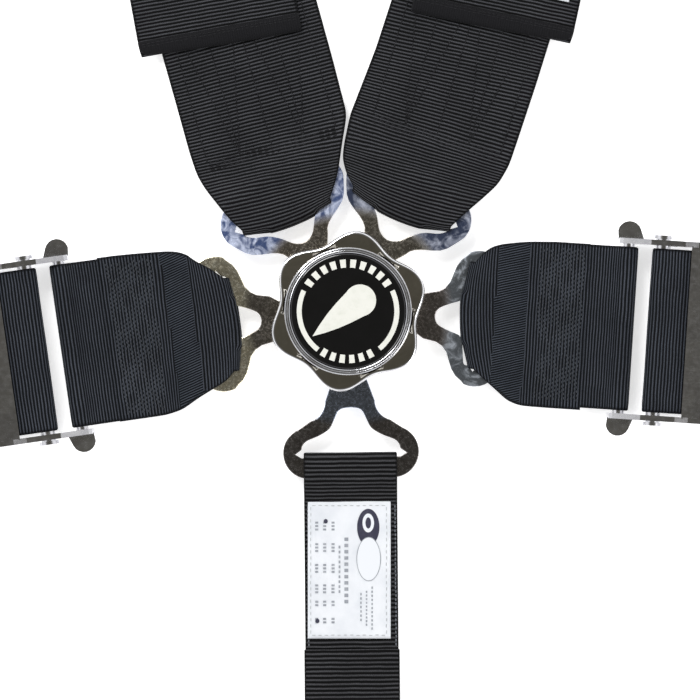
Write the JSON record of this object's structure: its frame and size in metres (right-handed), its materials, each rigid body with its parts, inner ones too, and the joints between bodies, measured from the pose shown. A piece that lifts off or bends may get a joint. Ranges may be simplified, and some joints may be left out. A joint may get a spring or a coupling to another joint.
{
  "type": "racing harness",
  "caption": "Racing harness laid flat: a rotary cam-lock buckle with lobed chrome knob, plated tongues, ribbed black belts, adjusters and bolt-in anchor brackets.",
  "frame": {"origin": "centre of the buckle's back face, on the surface that the harness lies on", "axes": "+Z out of the buckle's face, +Y towards the shoulder belts, -Y along the crotch belt, lap belts along -X and +X"},
  "size_m": [0.8039, 1.005, 0.0256],
  "materials": {
    "webbing": "ribbed black polyester harness webbing",
    "lap_webbing": "ribbed blue-black polyester webbing",
    "tongue_chrome": "bright chrome over stamped steel",
    "knob_chrome": "polished chrome over cast metal",
    "hardware_chrome": "bright chrome, light scratches",
    "bracket_zinc": "bright zinc plate",
    "housing_metal": "satin cast metal",
    "plain_steel": "plain machined steel",
    "spring_steel": "oiled spring wire",
    "badge_black": "gloss black domed badge",
    "label_cloth": "white woven label"
  },
  "bodies": {
    "buckle": {"back_plate": "housing_metal", "buckle_housing": "housing_metal", "housing_screws": "plain_steel", "standoffs": "plain_steel", "cam_spindle": "plain_steel", "spring_plate": "plain_steel", "knob_return_spring": "spring_steel", "knob_screw": "plain_steel", "captive_screw": "plain_steel", "right_lap_tongue": "tongue_chrome", "right_lap_link": "lap_webbing"},
    "knob": {"knob": "knob_chrome", "bezel_ring": "knob_chrome", "badge": "badge_black", "cam_plate": "plain_steel"},
    "left_shoulder_pin": {"lock_pin_left_shoulder": "plain_steel", "pin_spring_left_shoulder": "spring_steel"},
    "right_shoulder_pin": {"lock_pin_right_shoulder": "plain_steel", "pin_spring_right_shoulder": "spring_steel"},
    "left_lap_pin": {"lock_pin_left_lap": "plain_steel", "pin_spring_left_lap": "spring_steel"},
    "crotch_pin": {"lock_pin_crotch": "plain_steel", "pin_spring_crotch": "spring_steel"},
    "left_shoulder": {"left_shoulder_tongue": "tongue_chrome", "left_shoulder_belt": "webbing", "left_shoulder_adjuster": "hardware_chrome"},
    "left_shoulder_grip": {"left_shoulder_grip_bar": "hardware_chrome"},
    "left_shoulder_tail": {"left_shoulder_tail": "webbing"},
    "left_upper": {"left_upper_belt": "webbing"},
    "left_shoulder_bracket": {"left_shoulder_bracket": "bracket_zinc"},
    "right_shoulder": {"right_shoulder_tongue": "tongue_chrome", "right_shoulder_belt": "webbing", "right_shoulder_adjuster": "hardware_chrome"},
    "right_shoulder_grip": {"right_shoulder_grip_bar": "hardware_chrome"},
    "right_shoulder_tail": {"right_shoulder_tail": "webbing", "shoulder_label": "label_cloth"},
    "right_upper": {"right_upper_belt": "webbing"},
    "right_shoulder_bracket": {"right_shoulder_bracket": "bracket_zinc"},
    "left_lap": {"left_lap_tongue": "tongue_chrome", "left_lap_link": "lap_webbing"},
    "left_lap_outer": {"left_lap_adjuster": "hardware_chrome", "left_lap_belt": "lap_webbing"},
    "left_lap_grip": {"left_lap_grip_bar": "hardware_chrome"},
    "left_lap_tail": {"left_lap_tail": "lap_webbing"},
    "left_lap_bracket": {"left_lap_bracket": "bracket_zinc"},
    "right_lap_outer": {"right_lap_adjuster": "hardware_chrome", "right_lap_belt": "lap_webbing"},
    "right_lap_grip": {"right_lap_grip_bar": "hardware_chrome"},
    "right_lap_tail": {"right_lap_tail": "lap_webbing"},
    "right_lap_bracket": {"right_lap_bracket": "bracket_zinc"},
    "crotch": {"crotch_tongue": "tongue_chrome", "crotch_belt": "webbing", "crotch_label": "label_cloth"},
    "crotch_lower": {"crotch_slide": "hardware_chrome", "crotch_lower_belt": "webbing"},
    "crotch_bracket": {"crotch_bracket": "bracket_zinc"}
  },
  "joints": [
    {"name": "knob_turn", "type": "hinge", "parent": "buckle", "child": "knob", "pos_m": [0, 0, 0.012], "axis": [0, 0, 1], "range_deg": [-30, 0], "stiffness_Nm_per_rad": 0.3, "springref_deg": -51.57},
    {"name": "left_shoulder_release", "type": "slide", "parent": "buckle", "child": "left_shoulder", "axis": [-0.518, 0.8554, 0], "range_m": [0, 0.028]},
    {"name": "right_shoulder_release", "type": "slide", "parent": "buckle", "child": "right_shoulder", "axis": [0.4772, 0.8788, 0], "range_m": [0, 0.028]},
    {"name": "left_lap_release", "type": "slide", "parent": "buckle", "child": "left_lap", "axis": [-0.9952, -0.0976, 0], "range_m": [0, 0.028]},
    {"name": "crotch_release", "type": "slide", "parent": "buckle", "child": "crotch", "axis": [0.0209, -0.9998, 0], "range_m": [0, 0.028]},
    {"name": "left_shoulder_pin_drop", "type": "slide", "parent": "buckle", "child": "left_shoulder_pin", "axis": [0, 0, -1], "range_m": [0, 0.004], "deforming": ["pin_spring_left_shoulder"]},
    {"name": "right_shoulder_pin_drop", "type": "slide", "parent": "buckle", "child": "right_shoulder_pin", "axis": [0, 0, -1], "range_m": [0, 0.004], "deforming": ["pin_spring_right_shoulder"]},
    {"name": "left_lap_pin_drop", "type": "slide", "parent": "buckle", "child": "left_lap_pin", "axis": [0, 0, -1], "range_m": [0, 0.004], "deforming": ["pin_spring_left_lap"]},
    {"name": "crotch_pin_drop", "type": "slide", "parent": "buckle", "child": "crotch_pin", "axis": [0, 0, -1], "range_m": [0, 0.004], "deforming": ["pin_spring_crotch"]},
    {"name": "left_shoulder_grip_slide", "type": "slide", "parent": "left_shoulder", "child": "left_shoulder_grip", "axis": [0.2672, -0.9636, 0], "range_m": [0, 0.003]},
    {"name": "left_shoulder_tail_lift", "type": "hinge", "parent": "left_shoulder", "child": "left_shoulder_tail", "pos_m": [-0.07944, 0.23583, 0.01169], "axis": [-0.9636, -0.2672, 0], "range_deg": [0, 80]},
    {"name": "left_upper_fold", "type": "hinge", "parent": "left_shoulder", "child": "left_upper", "pos_m": [-0.09128, 0.27852, 0.006], "axis": [0.9636, 0.2672, 0], "range_deg": [0, 90]},
    {"name": "left_shoulder_bracket_tilt", "type": "hinge", "parent": "left_upper", "child": "left_shoulder_bracket", "pos_m": [-0.15809, 0.51943, 0.0051], "axis": [0.9636, 0.2672, 0], "range_deg": [0, 90]},
    {"name": "right_shoulder_grip_slide", "type": "slide", "parent": "right_shoulder", "child": "right_shoulder_grip", "axis": [-0.2924, -0.9563, 0], "range_m": [0, 0.003]},
    {"name": "right_shoulder_tail_lift", "type": "hinge", "parent": "right_shoulder", "child": "right_shoulder_tail", "pos_m": [0.09043, 0.24284, 0.01169], "axis": [-0.9563, 0.2924, 0], "range_deg": [0, 80]},
    {"name": "right_upper_fold", "type": "hinge", "parent": "right_shoulder", "child": "right_upper", "pos_m": [0.10338, 0.2852, 0.006], "axis": [0.9563, -0.2924, 0], "range_deg": [0, 90]},
    {"name": "right_shoulder_bracket_tilt", "type": "hinge", "parent": "right_upper", "child": "right_shoulder_bracket", "pos_m": [0.17647, 0.52428, 0.0051], "axis": [0.9563, -0.2924, 0], "range_deg": [0, 90]},
    {"name": "left_lap_fold", "type": "hinge", "parent": "left_lap", "child": "left_lap_outer", "pos_m": [-0.12906, -0.01582, 0.006], "axis": [-0.1426, 0.9898, 0], "range_deg": [0, 75]},
    {"name": "left_lap_grip_slide", "type": "slide", "parent": "left_lap_outer", "child": "left_lap_grip", "axis": [-0.9898, -0.1426, 0], "range_m": [0, 0.003]},
    {"name": "left_lap_tail_lift", "type": "hinge", "parent": "left_lap_outer", "child": "left_lap_tail", "pos_m": [-0.17291, -0.02214, 0.01169], "axis": [-0.1426, 0.9898, 0], "range_deg": [0, 80]},
    {"name": "left_lap_bracket_tilt", "type": "hinge", "parent": "left_lap_outer", "child": "left_lap_bracket", "pos_m": [-0.33296, -0.0452, 0.0051], "axis": [-0.1426, 0.9898, 0], "range_deg": [0, 90]},
    {"name": "right_lap_fold", "type": "hinge", "parent": "buckle", "child": "right_lap_outer", "pos_m": [0.12803, -0.00787, 0.006], "axis": [-0.0645, -0.9979, 0], "range_deg": [0, 75]},
    {"name": "right_lap_grip_slide", "type": "slide", "parent": "right_lap_outer", "child": "right_lap_grip", "axis": [0.9979, -0.0645, 0], "range_m": [0, 0.003]},
    {"name": "right_lap_tail_lift", "type": "hinge", "parent": "right_lap_outer", "child": "right_lap_tail", "pos_m": [0.17224, -0.01073, 0.01169], "axis": [-0.0645, -0.9979, 0], "range_deg": [0, 80]},
    {"name": "right_lap_bracket_tilt", "type": "hinge", "parent": "right_lap_outer", "child": "right_lap_bracket", "pos_m": [0.3336, -0.02116, 0.0051], "axis": [-0.0645, -0.9979, 0], "range_deg": [0, 90]},
    {"name": "crotch_fold", "type": "hinge", "parent": "crotch", "child": "crotch_lower", "pos_m": [0.00239, -0.22199, 0.005], "axis": [-1, -0.0087, 0], "range_deg": [0, 80]},
    {"name": "crotch_bracket_tilt", "type": "hinge", "parent": "crotch_lower", "child": "crotch_bracket", "pos_m": [0.00346, -0.34499, 0.0051], "axis": [-1, -0.0087, 0], "range_deg": [0, 90]}
  ],
  "couplings": [
    {"joint": "left_shoulder_pin_drop", "follows": "knob_turn", "m_per_rad": -0.007636},
    {"joint": "right_shoulder_pin_drop", "follows": "knob_turn", "m_per_rad": -0.007636},
    {"joint": "left_lap_pin_drop", "follows": "knob_turn", "m_per_rad": -0.007636},
    {"joint": "crotch_pin_drop", "follows": "knob_turn", "m_per_rad": -0.007636}
  ]
}
